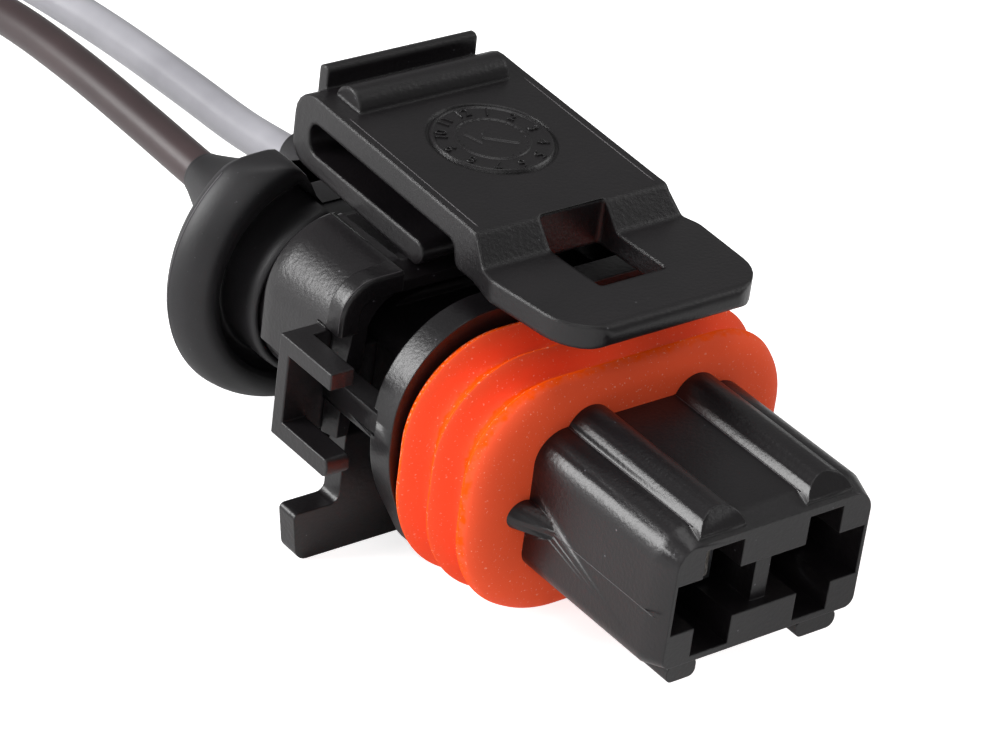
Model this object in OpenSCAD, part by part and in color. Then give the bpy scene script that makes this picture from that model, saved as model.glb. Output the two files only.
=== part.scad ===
// Two-way sealed lead connector, socket side, with a sprung latch and a side-slide secondary lock.
// Construction datum: mating face at Y = 0 with +Y toward the leads, contact row at Z = 0.
// The finished part stands on Z = 0 with its origin at the centre of its footprint.

/* [Mating nose] */
// Width of the nose behind its lead-in
nose_w = 13.8; // [13.4:0.1:15]
// Height of the nose behind its lead-in
nose_h = 8.26; // [8:0.02:9]
// Length of the tapered lead-in at the mating face
lead_in = 1.5; // [0.5:0.1:2.5]
// Distance between the two contacts
pitch = 6.6; // [6.5:0.1:6.8]
// Width of each contact slot
slot_w = 5.7; // [5:0.1:5.8]
// Height of each contact slot
slot_h = 3; // [2.8:0.1:3.2]
// Depth of the wide slot mouths
mouth_l = 9; // [6:0.5:10]

/* [Seal and flange] */
// Width across the seal ridges
seal_w = 21.4; // [21:0.1:21.8]
// Height across the seal ridges
seal_h = 14.8; // [14.6:0.1:15.2]
// Number of sealing ridges
ridges = 3; // [2:1:3]
// Distance between sealing ridges
ridge_pitch = 2.3; // [2:0.05:2.4]
// Depth of the valleys between ridges
valley = 0.95; // [0.6:0.05:1.1]
// Width of the flange
flange_w = 22.4; // [22:0.1:22.8]
// Thickness of the flange
flange_t = 1.7; // [1.4:0.1:2]

/* [Rear hood] */
// Width of the hood
hood_w = 22.2; // [21.8:0.1:22.4]
// Length of the hood
hood_l = 7; // [6:0.5:8]
// Wall thickness of the hood
wall = 1.2; // [1:0.05:1.4]

/* [Latch] */
// Width of the latch arm
arm_w = 12.6; // [12:0.1:13]
// Thickness of the upper arm
arm_t = 1.42; // [1.2:0.02:1.6]
// Width of the latch window
window_w = 4.4; // [3.5:0.1:5]
// Length of the latch window
window_l = 5.6; // [4.5:0.1:6]
// Thickness of the front pad
pad_t = 1.34; // [1.2:0.02:1.6]

/* [Secondary lock] */
// Thickness of the comb plate
comb_t = 0.9; // [0.7:0.05:1]

/* [Rear boot and leads] */
// Largest outer radius of the boot's bell
bell_r = 8.85; // [8.6:0.05:9]
// Diameter of the leads
lead_d = 2.4; // [2:0.1:2.6]
// Mean radius of the outer turn of the stored coil
coil_r = 15; // [13:0.5:16]

/* [Hidden] */

// Overall stations along the connector
overall_l = 47.5;
rest_h = 9.4;
face_y = 0;
pad_y = 9.7;
seal_y0 = 11.2;
flange_y0 = 17.7;
flange_y1 = flange_y0 + flange_t;
hood_y0 = 23;
hood_y1 = hood_y0 + hood_l;
slot_y0 = 24;
slot_y1 = slot_y0 + comb_t + 0.2;
bulkhead_y1 = 27.6;
neck_y1 = 37;

// Heights, measured from the contact row
nose_top = 3.89;
nose_bottom = nose_top - nose_h;
seal_z = -0.9;
hood_top = 7.35;
hood_edge = 4.3;
slot_z = -2.05;
plate_bottom = -9.4;
core_top = 3.4;
core_bottom = -5.6;
lead_z = -0.2;
neck_z = -0.75;
bell_z = -0.15;

// Radii that several pieces share
lead_r = lead_d / 2;
seal_r = 6;
core_x = 7.8;
plate_x = 10;
strand_r = 0.8;
seal_bore_r = 2.45;
hinge_r = 0.7;
hinge_at = [23.7, 8.02];

black = "#1c1b1d";
orange = "#ff5a14";
rubber = "#26262a";
brown = "#5f4c4f";
grey = "#b9b9bd";
copper = "#c58a5a";
steel = "#b8bcc0";

// ---- profile helpers ----
function unit(v) = v / norm(v);
function heading(v) = atan2(v[1], v[0]);
function wrap(a) = a > 180 ? a - 360 : a < -180 ? a + 360 : a;
function arc(c, r, a0, a1) = let (n = max(5, ceil(2.5 * r)))
    [for (i = [0:n]) let (a = a0 + (a1 - a0) * i / n) c + r * [cos(a), sin(a)]];
function xy(p) = [p[0], p[1]];

// One corner of a profile rounded to the radius in its third number
function corner(a, b, c) =
    let (p = xy(b), r = b[2], u = unit(xy(a) - p), v = unit(xy(c) - p))
    r == undef || r == 0 ? [p] :
    let (half = acos(u * v) / 2, mid = p + unit(u + v) * r / sin(half))
    let (from = heading(p + u * r / tan(half) - mid), to = heading(p + v * r / tan(half) - mid))
    arc(mid, r, from, from + wrap(to - from));
function rounded(p) = [for (i = [0:len(p) - 1]) each corner(p[(i + len(p) - 1) % len(p)], p[i], p[(i + 1) % len(p)])];
function box2(x0, x1, y0, y1, r) = rounded([[x0, y0, r], [x1, y0, r], [x1, y1, r], [x0, y1, r]]);

// ---- placing helpers ----
module placed() { translate([0, -overall_l / 2, rest_h]) children(); }
module from_front(y0, y1) { translate([0, y1, 0]) rotate([90, 0, 0]) linear_extrude(y1 - y0) children(); }
module from_side(x0, x1) { translate([x0, 0, 0]) rotate([90, 0, 90]) linear_extrude(x1 - x0) children(); }
module from_top(z0, z1) { translate([0, 0, z0]) linear_extrude(z1 - z0) children(); }
module along(x, z, y0) { translate([x, y0, z]) rotate([-90, 0, 0]) children(); }
module both() { children(); mirror([1, 0, 0]) children(); }
module block(x0, x1, y0, y1, z0, z1) { translate([x0, y0, z0]) cube([x1 - x0, y1 - y0, z1 - z0]); }

// A profile carried round a rectangle of half sizes a and b: its x runs outward, its y along the axis
module carried_round(a, b) {
    if (b > 0)
        for (sx = [0, 1], sy = [0, 1])
            mirror([sx, 0, 0]) mirror([0, sy, 0]) translate([a, b, 0]) rotate_extrude(angle = 90, $fn = 64) children();
    else
        for (sx = [-1, 1])
            translate([sx * a, 0, 0]) rotate_extrude($fn = 64) children();
    for (sy = [0, 1])
        mirror([0, sy, 0]) translate([-a, b, 0]) rotate([90, 0, 90]) linear_extrude(2 * a) children();
    if (b > 0)
        for (sx = [0, 1])
            mirror([sx, 0, 0]) translate([a, b, 0]) rotate([90, 0, 0]) linear_extrude(2 * b) children();
}
module swept(z, a, b) { translate([0, 0, z]) rotate([90, 0, 180]) carried_round(a, b) children(); }

// ---- housing ----
// Nose with rounded edges, drawn in by the same amount all round at the mating face
module nose_solid() {
    w = nose_w / 2;
    top_r = 1.8;
    low_r = 1.1;
    inset = 0.5;
    end = 12.6;
    from_side(-w + top_r, w - top_r) polygon([[0, nose_bottom + inset], [lead_in, nose_bottom], [end, nose_bottom],
        [end, nose_top], [lead_in, nose_top], [0, nose_top - inset]]);
    from_side(-w + low_r, w - low_r) polygon([[0, nose_bottom + inset], [lead_in, nose_bottom], [end, nose_bottom], [end, 0], [0, 0]]);
    from_top(nose_bottom + low_r, nose_top - top_r) polygon([[-w + inset, 0], [w - inset, 0], [w, lead_in], [w, end],
        [-w, end], [-w, lead_in]]);
    both() {
        along(w - top_r, nose_top - top_r, face_y) cylinder(h = lead_in, r1 = top_r - inset, r2 = top_r, $fn = 48);
        along(w - top_r, nose_top - top_r, lead_in) cylinder(h = end - lead_in, r = top_r, $fn = 48);
        along(w - low_r, nose_bottom + low_r, face_y) cylinder(h = lead_in, r1 = low_r - inset, r2 = low_r, $fn = 40);
        along(w - low_r, nose_bottom + low_r, lead_in) cylinder(h = end - lead_in, r = low_r, $fn = 40);
    }
}

// Two round-topped ribs with sloping front ends
module nose_ribs() {
    both() intersection() {
        along(3.54, 3.24, 0.2) cylinder(h = 12.4, r = 1.55, $fn = 48);
        from_side(1, 6) polygon([[0.25, 2], [0.25, 3.75], [1.05, 5], [12.6, 5], [12.6, 2]]);
    }
}

module nose_feet() {
    from_front(0.3, 12.6) polygon(box2(-5.7, -3.8, -5.1, -4, 0.4));
    from_front(0.3, 12.6) polygon(box2(2.9, 5.6, -5.1, -4, 0.5));
}

// Round pegs that rise out of the nose sides toward the seal
module seal_pegs() {
    both() translate([6.05, 9.1, -0.8]) rotate([0, 0, -30]) along(0, 0, 0) cylinder(h = 3, r = 0.85, $fn = 40);
}

// Contact chambers: wide mouths with keying notches, then close-fitting rooms, then bores for the wire seals
module chambers() {
    for (s = [-1, 1]) {
        x = s * pitch / 2;
        block(x - slot_w / 2 + 0.05 * s, x + slot_w / 2 + 0.05 * s, -1, mouth_l, -1.79, -1.79 + slot_h);
        block(x - 1.15, x + 1.15, -1, mouth_l, -3.5, 3.1);
        block(x - 2.1, x + 2.1, mouth_l - 1, 24.6, lead_z - 1.5, lead_z + 1.5);
        along(x, lead_z, 24.5) cylinder(h = 14, r = seal_bore_r, $fn = 48);
    }
    block(-0.6, 0.6, -1, 0.6, -1.79, -1.79 + slot_h);
}

module flange() {
    x = flange_w / 2;
    from_front(flange_y0, flange_y1) polygon(rounded([[-x, 7.5, 6], [-x, -1.6, 9], [3.3 - x, -7.8, 3.2], [x - 3.3, -7.8, 3.2],
        [x, -1.6, 9], [x, 7.5, 6]]));
}

module core() {
    from_front(12.6, flange_y0 + 0.5) polygon(box2(-8.7, 8.7, seal_z - 5.7, seal_z + 5.7, 3.4));
    from_front(flange_y0 + 0.5, bulkhead_y1) polygon(box2(-core_x, core_x, core_bottom, core_top, 0.8));
    from_front(26.4, bulkhead_y1) polygon(box2(-core_x, core_x, core_top - 2, hood_edge + 1, 0.8));
    swept(neck_z, pitch / 2, 0) polygon([[0, 25.5], [4.9, 25.5], [4.9, neck_y1 - 0.4], [4.5, neck_y1], [0, neck_y1]]);
}

// Side webs that tie the flange to the front frame; the left one passes through the lock's handle
module side_webs() {
    both() block(-11.8, -10, flange_y1 - 0.3, slot_y0, 0.5, 2.1);
}

// Roof over the rear of the housing, carried by a front frame that reaches down to the base plate
module hood() {
    x = hood_w / 2;
    bevel = 0.5;
    difference() {
        intersection() {
            union() {
                from_front(hood_y0, hood_y1) polygon(rounded([[-x, hood_edge], [x, hood_edge], [x, hood_top, 2.7], [-x, hood_top, 2.7]]));
                from_front(hood_y0, slot_y0) polygon(box2(-x, x, slot_z, hood_edge + 0.1, 0));
            }
            from_side(-x, x) polygon(rounded([[hood_y0, slot_z], [hood_y1, slot_z], [hood_y1, hood_top, 0.5],
                [hood_y0 + 1.6, hood_top, 1.5], [hood_y0, hood_top - bevel]]));
            from_top(slot_z, hood_top) polygon(rounded([[-x + bevel, hood_y0], [x - bevel, hood_y0], [x, hood_y0 + 1.6, 1.5],
                [x, hood_y1, 0.5], [-x, hood_y1, 0.5], [-x, hood_y0 + 1.6, 1.5]]));
        }
        from_front(hood_y0 - 1, 26.4) polygon(rounded([[wall - x, slot_z], [x - wall, slot_z],
            [x - wall, hood_top - wall, 1.6], [wall - x, hood_top - wall, 1.6]]));
        from_front(bulkhead_y1, hood_y1 + 1) polygon(rounded([[wall - x, hood_edge - 1], [x - wall, hood_edge - 1],
            [x - wall, hood_top - wall, 1.6], [wall - x, hood_top - wall, 1.6]]));
    }
}

// Base plate below the lock slot, with an ear at each end
module ears() {
    end = 12.9;
    from_front(hood_y0, hood_y0 + 1.4) polygon(rounded([[0.5 - end, plate_bottom, 0.8], [end - 0.5, plate_bottom, 0.8], [end, -6.3, 0.3],
        [plate_x, -6.3, 0.5], [plate_x, slot_z], [-plate_x, slot_z], [-plate_x, -6.3, 0.5], [-end, -6.3, 0.3]]));
}

module housing() color(black) placed() difference() {
    union() {
        nose_solid();
        nose_ribs();
        nose_feet();
        seal_pegs();
        core();
        flange();
        side_webs();
        hood();
        ears();
    }
    chambers();
    // crosswise slot for the secondary lock
    block(-hood_w, 7.2, slot_y0, slot_y1, slot_z, 2.7);
    // rounded seat for the root of the latch, and relief under its rail
    translate([0, hinge_at[0], hinge_at[1]]) rotate([0, 90, 0]) cylinder(h = 14, r = hinge_r + 0.08, center = true, $fn = 48);
    from_side(-6.7, 6.7) polygon([[hinge_at[0], 8], [hinge_at[0], hood_top - 0.11], [31, hood_top - 0.5], [31, 8]]);
}

// ---- latch ----
module latch_side() {
    arm_y = 18.9;
    rise = 0.045;
    top0 = 11.68 + rise * (arm_y - 20);
    top1 = 11.68 + rise * (34 - 20);
    polygon(rounded([[arm_y, top0, 0.5], [32, 12.22], [35.25, top1 + 0.1, 1.6], [35.25, 8.05, 1.3], [hinge_at[0], hinge_at[1] - hinge_r],
        [hinge_at[0], hinge_at[1] + hinge_r], [33.7, 9, 0.75], [33.9, top1 - arm_t, 0.75],
        [20.6, 10.28, 0.6], [20.2, 8.9, 0.5], [pad_y, 9.16, 0.6], [pad_y, 9.16 + pad_t, 0.55], [17.6, 8.88 + pad_t, 0.4]]));
}

module latch_plan() {
    x = arm_w / 2;
    polygon(rounded([[-x, 36], [-x, 19.6], [-x - 0.05, 18.6], [-x - 0.6, 16.5, 2], [-x, pad_y, 3], [x, pad_y, 3], [x + 0.6, 16.5, 2],
        [x + 0.05, 18.6], [x, 19.6], [x, 36]]));
}

module thumb_ribs() {
    from_side(-5, 5) polygon(rounded([[34.35, 11.5], [35.15, 11.5], [35.15, 13.4, 0.3], [34.4, 13.4, 0.3]]));
    translate([-5, 32.35, 12.1]) rotate([0, 90, 0]) cylinder(h = 10, r = 1.12, $fn = 40);
}

module latch() color(black) placed() difference() {
    union() {
        intersection() {
            from_side(-7, 7) latch_side();
            from_top(6, 14) latch_plan();
        }
        thumb_ribs();
        // round root that the arm flexes about
        translate([-arm_w / 2, hinge_at[0], hinge_at[1]]) rotate([0, 90, 0]) cylinder(h = arm_w, r = hinge_r, $fn = 48);
    }
    // window that drops over the mating catch
    from_top(7, 13) polygon(box2(-window_w / 2, window_w / 2, 19 - window_l, 19, 0.25));
    // shallow ring round the generic date dial
    translate([0.2, 26.3, 11.83]) rotate([2.6, 0, 0]) difference() {
        cylinder(h = 1, r = 3.6, $fn = 64);
        translate([0, 0, -1]) cylinder(h = 3, r = 3.4, $fn = 64);
    }
}

// ---- seal on the nose ----
// Half size at a station: three round ridges that grow a little toward the flange
function ridge_wave(y, first) = (1 - cos(360 * (y - first) / ridge_pitch)) / 2;
function seal_profile(y, first) = seal_r + 0.1 * (y - first - ridge_pitch) - valley * ridge_wave(y, first);
module interface_seal() {
    first = 12.4;
    y0 = first - 0.3;
    y1 = first + ridge_pitch * (ridges - 1) + 0.3;
    steps = 8 * ridges;
    back = flange_y0 - 0.05;
    color(orange) placed() difference() {
        swept(seal_z, seal_w / 2 - seal_r, seal_h / 2 - seal_r) polygon(concat([[0, seal_y0], [seal_r - 1.4, seal_y0],
            [seal_r - 0.7, seal_y0 + 0.35]],
            [for (i = [0:steps]) let (y = y0 + (y1 - y0) * i / steps) [seal_profile(y, first), y]],
            [[seal_r - 0.5, back], [0, back]]));
        nose_solid();
        nose_ribs();
        nose_feet();
        seal_pegs();
        core();
    }
}

// ---- secondary lock ----
module secondary_lock() {
    y0 = slot_y0 + 0.1;
    y1 = y0 + comb_t;
    color(black) placed() {
        // C-shaped handle outside the housing, open to the front
        from_side(-13.5, -12) polygon(rounded([[19.85, -1.95, 0.4], [y1, -1.95], [y1, 4.2], [20.3, 4.2], [20.3, 3.2], [y0, 3.2],
            [y0, -0.87], [19.85, -0.87, 0.4]]));
        from_front(y0, y1) polygon(comb_outline());
    }
}
// Comb plate: a high outer end, then a lower plate with a finger beside each lead
function notch(c, end) = [[c - 1.4, -1.95], [c - 1.4, 0.6], [c - 0.8, 1.3], [end, 1.3]];
function comb_outline() = concat([[-12.3, -1.95]], notch(-pitch / 2, 1.05), [[1.05, -1.95]], notch(pitch / 2, 7),
    [[7, 2.6], [-10, 2.6], [-10.6, 4.2], [-12.3, 4.2]]);

// ---- rear boot ----
// Bell with a cavity round the neck, a collar that grips the neck and one trumpet for each lead
module rear_boot() {
    x = pitch / 2;
    color(rubber) placed() difference() {
        union() {
            difference() {
                swept(bell_z, x, 0) polygon(rounded([[0, 35.9], [6.3, 35.9, 0.3], [7.6, 35.3, 0.7], [bell_r, 36.6, 1.2],
                    [bell_r - 0.2, 38.4, 1.5], [6.6, 39.6, 2], [3.6, 40.4], [0, 40.6]]));
                swept(neck_z, x, 0) polygon([[0, 34], [6.45, 34], [6.45, 35.9], [5.9, 36.6], [5.9, neck_y1], [0, neck_y1]]);
            }
            difference() {
                swept(neck_z, x, 0) polygon([[0, 34.3], [5.4, 34.3], [5.4, neck_y1 + 0.2], [0, neck_y1 + 0.2]]);
                swept(neck_z, x, 0) polygon([[0, 34], [4.9, 34], [4.9, neck_y1], [0, neck_y1]]);
            }
            both() along(x, -0.1, 38) rotate_extrude($fn = 48) polygon(concat([[0, 0]],
                [for (i = [0:8]) let (t = i / 8) [1.4 + 3.9 * pow(1 - t, 2), 1.3 + 8.2 * t]], [[0, 9.5]]));
        }
        both() along(x, lead_z, 36) cylinder(h = 12, r = lead_r, $fn = 40);
        // flat top with a lowered middle that clears the pressed latch
        block(-20, 20, 34, 42, 7.2, 12);
        from_front(34, 42) polygon(rounded([[-5.9, 9], [-5.6, 6.4, 0.6], [-3.9, 4.3, 0.8], [3.9, 4.3, 0.8], [5.6, 6.4, 0.6], [5.9, 9]]));
        // drain slots low in the web
        both() from_front(36, 42) polygon(box2(3.2, 5.4, -7.1, -6.1, 0.45));
    }
}

// ---- contacts ----
module contact() {
    h = 1.17;
    w = 1.82;
    difference() {
        block(-w, w, 3.4, 13.5, -h, h);
        block(-w + 0.3, w - 0.3, 3, 14, -h + 0.3, h - 0.3);
        block(-0.05, 0.05, 3, 14, 0, 2);
    }
    from_side(-1.2, 1.2) polygon([[3.4, h - 0.1], [3.8, h - 0.1], [8, -0.05], [10.5, -0.05], [13, h - 0.1], [13.5, h - 0.1],
        [13.5, h - 0.4], [10.5, -0.3], [8, -0.3], [3.4, h - 0.4]]);
    // open channel between box and crimps
    difference() {
        from_top(-h, 0.6) polygon([[-w, 13.5], [w, 13.5], [1.25, 15.5], [1.25, 20.8], [-1.25, 20.8], [-1.25, 15.5]]);
        block(-0.95, 0.95, 13, 21, -h + 0.3, 2);
    }
    // barrel round the stripped conductor
    difference() {
        along(0, 0, 16.6) cylinder(h = 3.4, r = 1.15, $fn = 32);
        along(0, 0, 16) cylinder(h = 5, r = strand_r, $fn = 32);
    }
    // collar round the insulation
    difference() {
        along(0, 0, 20.7) cylinder(h = 3.2, r = 1.48, $fn = 40);
        along(0, 0, 20) cylinder(h = 5, r = lead_r, $fn = 40);
    }
}

module contact_spring() {
    difference() {
        block(-2.02, 2.02, 3, 12.8, -1.37, 1.37);
        block(-1.82, 1.82, 2, 14, -1.17, 1.17);
        block(-3, 3, 5, 8.5, -0.5, 0.5);
    }
    from_side(-0.7, 0.7) polygon([[4.2, 1.25], [4.2, 1.45], [8.75, 2.6], [8.85, 2.4]]);
}

module in_chamber(side) { placed() translate([side * pitch / 2, 0, lead_z]) children(); }
module contact_left() { color(copper) in_chamber(-1) contact(); }
module contact_right() { color(copper) in_chamber(1) contact(); }
module contact_spring_left() { color(steel) in_chamber(-1) contact_spring(); }
module contact_spring_right() { color(steel) in_chamber(1) contact_spring(); }

module conductor() { along(0, 0, 16.3) cylinder(h = 4.4, r = strand_r, $fn = 32); }
module conductor_left() { color(copper) in_chamber(-1) conductor(); }
module conductor_right() { color(copper) in_chamber(1) conductor(); }

module wire_seal() {
    along(0, 0, 0) rotate_extrude($fn = 48) polygon(concat([[lead_r, 25.6], [1.9, 25.6], [1.9, 27]],
        [for (i = [0:24]) [2.2 + 0.28 * cos(360 * 3 * i / 24 + 180), 27.2 + 7.4 * i / 24]], [[1.9, 35], [lead_r, 35]]));
}
module wire_seal_left() { color(orange) in_chamber(-1) wire_seal(); }
module wire_seal_right() { color(orange) in_chamber(1) wire_seal(); }

// ---- leads ----
// Routes of the lead centres: across, along from the mating face, height over the contact row
brown_route = [[-3.3, 20.7, -0.2], [-3.3, 40, -0.2], [-3.3, 47.5, -0.1], [-3.3, 54, 0.1], [-3.3, 61, 0.2], [-3.3, 68, -0.1],
    [-3.3, 74, -1], [-3.3, 80, -2.6], [-3.3, 86, -4.7], [-3.3, 92, -6.5], [-3.3, 98, -7.6], [-3.3, 104, -7.8]];
grey_route = [[3.3, 20.7, -0.2], [3.3, 40, -0.2], [3.3, 47.5, -0.8], [3.3, 53, -1.4], [3.3, 59, -1.6], [3.3, 66, -1.9],
    [3.2, 72, -2.3], [2.7, 78, -2.6], [1.6, 84, -2.9], [-0.4, 91, -3.8], [-2.4, 98, -4.9], [-3.3, 104, -5.35]];
coil_at = [-3.3 + coil_r, 104];
turn_gap = lead_d;

function along_route(p, i) = unit(p[min(i + 1, len(p) - 1)] - p[max(i - 1, 0)]);
function ring(p, i, n) = let (d = along_route(p, i), u = unit(cross(d, [0, 0, 1])), v = cross(u, d))
    [for (k = [0:n - 1]) p[i] + lead_r * (cos(360 * k / n) * u + sin(360 * k / n) * v)];
module tube(p, n = 8) {
    last = len(p) - 1;
    polyhedron([for (i = [0:last]) each ring(p, i, n)],
        concat([[for (k = [0:n - 1]) k]],
            [for (i = [0:last - 1], k = [0:n - 1]) [i * n + k, (i + 1) * n + k, (i + 1) * n + (k + 1) % n, i * n + (k + 1) % n]],
            [[for (k = [n - 1:-1:0]) last * n + k]]));
}
module wire_brown() { color(brown) placed() tube(brown_route); }
module wire_grey() { color(grey) placed() tube(grey_route); }

// Two flat turns of each lead, the grey pair lying on the brown pair
module turns(z) {
    translate([coil_at[0], coil_at[1], z]) rotate_extrude($fn = 96)
        translate([coil_r - turn_gap - lead_r, 0]) square([2 * lead_d, lead_d]);
}
module coil_brown() { color(brown) placed() turns(-9); }
module coil_grey() { color(grey) placed() turns(-6.55); }

// Stripped lead ends, turned in towards the middle of the coil
module tip(angle, z) {
    color(copper) placed() translate([coil_at[0], coil_at[1], z]) rotate([0, 0, angle]) translate([12, 0, 0])
        rotate([0, 0, -115]) rotate([0, 90, 0]) cylinder(h = 5.5, r = strand_r, $fn = 24);
}
module tip_brown() { tip(205, -7.8); }
module tip_grey() { tip(250, -5.35); }

module coil_tie() {
    middle = coil_at[0] + coil_r - turn_gap / 2;
    color(black) placed() difference() {
        block(middle - 2.85, middle + 2.85, coil_at[1] - 1.25, coil_at[1] + 1.25, -9.4, -3.75);
        block(middle - 2.45, middle + 2.45, coil_at[1] - 2, coil_at[1] + 2, -9, -4.13);
    }
}

housing();
latch();
interface_seal();
secondary_lock();
rear_boot();
contact_left();
contact_right();
contact_spring_left();
contact_spring_right();
wire_seal_left();
wire_seal_right();
conductor_left();
conductor_right();
wire_brown();
wire_grey();
coil_brown();
coil_grey();
tip_brown();
tip_grey();
coil_tie();
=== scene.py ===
# %% [markdown]
# # A sealed two-way lead connector, finished in Blender
# The solids of this part come from a CAD model, already at their real size and place. Here each
# visible piece gets its finish. The soft or fine ones (seal, boot, leads, strands, dial) get a
# surface of their own, and the moulded ones a copy with rounded edges. New shapes are worked out
# with numpy as grids of points: a profile carried round a path, or a tube along a line. Lengths are
# in millimetres from a working datum, the mating face and the contact row, and one helper moves
# them to the frame, in metres.

import math

import bmesh
import bpy
import numpy as np
from mathutils import Matrix, Vector


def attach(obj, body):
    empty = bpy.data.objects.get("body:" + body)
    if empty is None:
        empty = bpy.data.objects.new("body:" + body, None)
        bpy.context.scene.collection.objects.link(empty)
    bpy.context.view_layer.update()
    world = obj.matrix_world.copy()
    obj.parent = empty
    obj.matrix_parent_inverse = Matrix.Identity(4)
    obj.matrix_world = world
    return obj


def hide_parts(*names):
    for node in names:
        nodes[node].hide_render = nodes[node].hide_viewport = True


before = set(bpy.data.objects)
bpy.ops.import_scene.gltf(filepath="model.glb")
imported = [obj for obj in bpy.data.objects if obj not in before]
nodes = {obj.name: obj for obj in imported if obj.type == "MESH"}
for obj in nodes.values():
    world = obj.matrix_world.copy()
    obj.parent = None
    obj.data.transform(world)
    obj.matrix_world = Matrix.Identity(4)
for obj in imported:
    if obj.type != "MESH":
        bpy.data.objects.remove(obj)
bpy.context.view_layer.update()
MM = 0.001
DATUM = np.array([0.0, -23.75, 9.4])  # mating face and contact row, from the frame's origin
DOUBLES = 1e-7  # points closer than this, in metres, are one
print("CAD nodes:", ", ".join(sorted(nodes)))

# %% [markdown]
# ## Camera
# A long lens from the front left and above shows the nose, the seal and the latch at once. A camera
# looks along its own minus Z, so its matrix is built from three unit vectors: right, up and back.

# %% Camera from its azimuth, elevation and roll
def camera_axes(azimuth, elevation, roll):
    """Right, up and back. Back is (sin a cos e, -cos a cos e, sin e); right and up are then turned
    about it by the roll."""
    a, e, r = np.radians([azimuth, elevation, roll])
    back = np.array([np.sin(a) * np.cos(e), -np.cos(a) * np.cos(e), np.sin(e)])
    level = np.array([np.cos(a), np.sin(a), 0.0])
    upright = np.cross(back, level)
    right = np.cos(r) * level + np.sin(r) * upright
    up = np.cos(r) * upright - np.sin(r) * level
    return right, up, back


AZIMUTH, ELEVATION, ROLL = -40.738, 31.138, 7.797  # degrees
FOCAL_LENGTH, SENSOR_WIDTH = 145.7, 36.0  # millimetres
right, up, back = camera_axes(AZIMUTH, ELEVATION, ROLL)
eye = np.array([-122.907, -143.629, 122.307]) * MM
lens = bpy.data.cameras.new("studio_lens")
lens.lens, lens.sensor_width = FOCAL_LENGTH, SENSOR_WIDTH
lens.clip_start, lens.clip_end = 0.01, 20.0
camera = bpy.data.objects.new("studio_camera", lens)
bpy.context.scene.collection.objects.link(camera)
turn = Matrix(np.column_stack([right, up, back]).tolist()).to_4x4()
camera.matrix_world = Matrix.Translation(Vector(eye)) @ turn
bpy.context.scene.camera = camera
print("camera stands", round(float(np.linalg.norm(eye)) / MM), "mm from the origin")

# %% [markdown]
# ## Grids of points
# Every new surface below is one grid of points, or a few. Rows run along the piece and columns run
# round it. The faces follow from the grid's size alone, so one helper serves them all. Ends that
# are drawn in to a point leave flat cells there, which are merged and dropped before the faces are
# turned outwards.

# %% A mesh from a grid of points
def to_frame(points):
    """Millimetres from the working datum to metres in the frame."""
    return (np.asarray(points, float) + DATUM) * MM


def grid_faces(rows, cols, closed_rows, closed_cols):
    """Four corners of each cell: (i, j), (i, j+1), (i+1, j+1), (i+1, j), wrapping where closed."""
    i = np.arange(rows if closed_rows else rows - 1)[:, None]
    j = np.arange(cols if closed_cols else cols - 1)[None, :]
    i2, j2 = (i + 1) % rows, (j + 1) % cols
    cell = [i * cols + j, i * cols + j2, i2 * cols + j2, i2 * cols + j]
    return np.stack(np.broadcast_arrays(*cell), axis=-1).reshape(-1, 4)


def finish_mesh(mesh):
    """Merges doubles, drops flat cells, turns faces outwards and shades them smooth."""
    work = bmesh.new()
    work.from_mesh(mesh)
    bmesh.ops.remove_doubles(work, verts=work.verts, dist=DOUBLES)
    bmesh.ops.dissolve_degenerate(work, edges=work.edges, dist=DOUBLES)
    bmesh.ops.recalc_face_normals(work, faces=work.faces)
    work.to_mesh(mesh)
    work.free()
    mesh.shade_smooth()


def placed(name, mesh, body):
    """An object for a mesh, in the scene and riding on a body."""
    piece = bpy.data.objects.new(name, mesh)
    bpy.context.scene.collection.objects.link(piece)
    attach(piece, body)
    print(name, len(mesh.vertices), "points,", len(mesh.polygons), "faces")
    return piece


def surface(name, grids, material, body="connector"):
    """One smooth piece from a list of (points, closed_rows, closed_cols)."""
    points, faces, start = [], [], 0
    for grid, closed_rows, closed_cols in grids:
        rows, cols = grid.shape[:2]
        points.append(grid.reshape(-1, 3))
        faces.append(grid_faces(rows, cols, closed_rows, closed_cols) + start)
        start += rows * cols
    points, faces = np.concatenate(points), np.concatenate(faces)
    mesh = bpy.data.meshes.new(name)
    mesh.from_pydata(to_frame(points).tolist(), [], faces.tolist())
    finish_mesh(mesh)
    mesh.materials.append(material)
    return placed(name, mesh, body)

# %% [markdown]
# ## Materials: shared tools
# Colours are written as they look on screen, in hex, and turned to linear light by one function.
# One function adds a node with its settings and its links, and every material is built from it.
# Noise is measured in cells per metre, so a scale of 1000 has cells a millimetre across.

# %% Colour and node helpers
def linear(hex_colour):
    """sRGB hex to linear RGBA: c/12.92 below 0.04045, else ((c+0.055)/1.055)^2.4."""
    c = np.array([int(hex_colour[i:i + 2], 16) for i in (1, 3, 5)]) / 255
    c = np.where(c <= 0.04045, c / 12.92, ((c + 0.055) / 1.055) ** 2.4)
    return (*c.tolist(), 1.0)


def add(tree, kind, settings=None, **inputs):
    """Adds a node: settings are its own properties, inputs are values or output sockets. An input
    is given by its name, with _ for a space, or by its number, such as i6."""
    node = tree.nodes.new(kind)
    for key, value in (settings or {}).items():
        setattr(node, key, value)
    for key, value in inputs.items():
        index = int(key[1:]) if key[0] == "i" and key[1:].isdigit() else key.replace("_", " ")
        socket = node.inputs[index]
        if isinstance(value, bpy.types.NodeSocket):
            tree.links.new(value, socket)
        else:
            socket.default_value = value
    return node


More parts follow.
